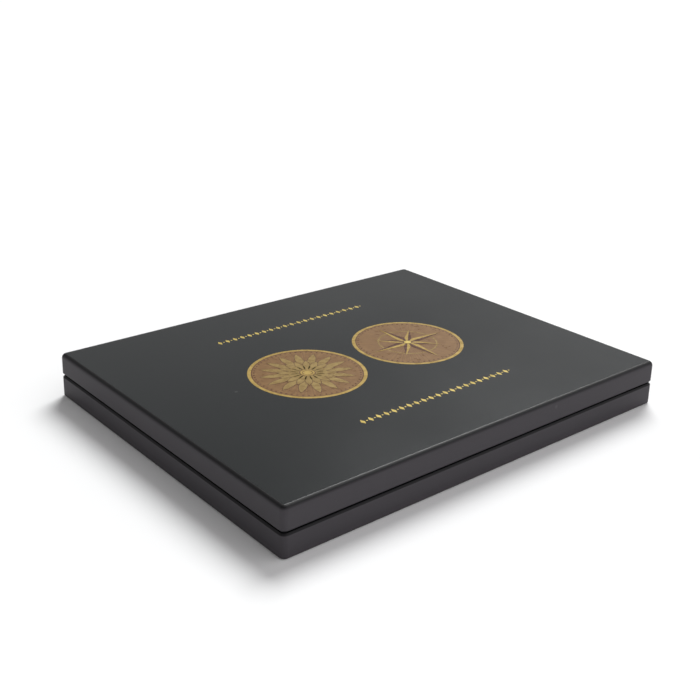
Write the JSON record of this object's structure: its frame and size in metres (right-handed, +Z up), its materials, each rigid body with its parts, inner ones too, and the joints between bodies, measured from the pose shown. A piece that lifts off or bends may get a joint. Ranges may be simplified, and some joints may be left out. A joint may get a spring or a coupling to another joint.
{
  "type": "coin display case",
  "caption": "Shallow hinged presentation case in matte black lacquer with a bevelled dark gap round the middle, a velvet tray of round coin seats and a satin-lined lid.",
  "frame": {"origin": "middle of the footprint, on the surface that the case stands on", "axes": "+X to the right along the long side seen from the front, -Y out of the front with the magnets, +Y towards the hinges, +Z up"},
  "size_m": [0.305, 0.245, 0.03],
  "materials": {
    "lacquer": "satin to matte black lacquer over fibreboard, slightly warm on the sides",
    "fibreboard": "plain fibreboard panel",
    "felt": "black felt",
    "foam": "thin dark foam sheet",
    "velvet": "black velvet over board",
    "card": "stiff black card",
    "satin": "black satin over soft foam",
    "nickel": "nickel plated",
    "magnet": "nickel plated disc magnet"
  },
  "bodies": {
    "base": {"base_frame": "lacquer", "base_panel": "fibreboard", "base_felt": "felt", "tray_foam": "foam", "tray_floor": "velvet", "tray_board": "velvet", "hinge_left_base_leaf": "nickel", "hinge_left_pin": "nickel", "hinge_left_base_screw_1": "nickel", "hinge_left_base_screw_2": "nickel", "base_magnet_left": "magnet", "hinge_right_base_leaf": "nickel", "hinge_right_pin": "nickel", "hinge_right_base_screw_1": "nickel", "hinge_right_base_screw_2": "nickel", "base_magnet_right": "magnet"},
    "lid": {"lid_shell": "lacquer", "lid_card": "card", "lid_cushion": "satin", "hinge_left_lid_leaf": "nickel", "hinge_left_lid_screw_1": "nickel", "hinge_left_lid_screw_2": "nickel", "lid_magnet_left": "magnet", "hinge_right_lid_leaf": "nickel", "hinge_right_lid_screw_1": "nickel", "hinge_right_lid_screw_2": "nickel", "lid_magnet_right": "magnet"}
  },
  "joints": [
    {"name": "lid_hinge", "type": "hinge", "parent": "base", "child": "lid", "pos_m": [0, 0.1212, 0.015], "axis": [-1, 0, 0], "range_deg": [0, 95]}
  ]
}
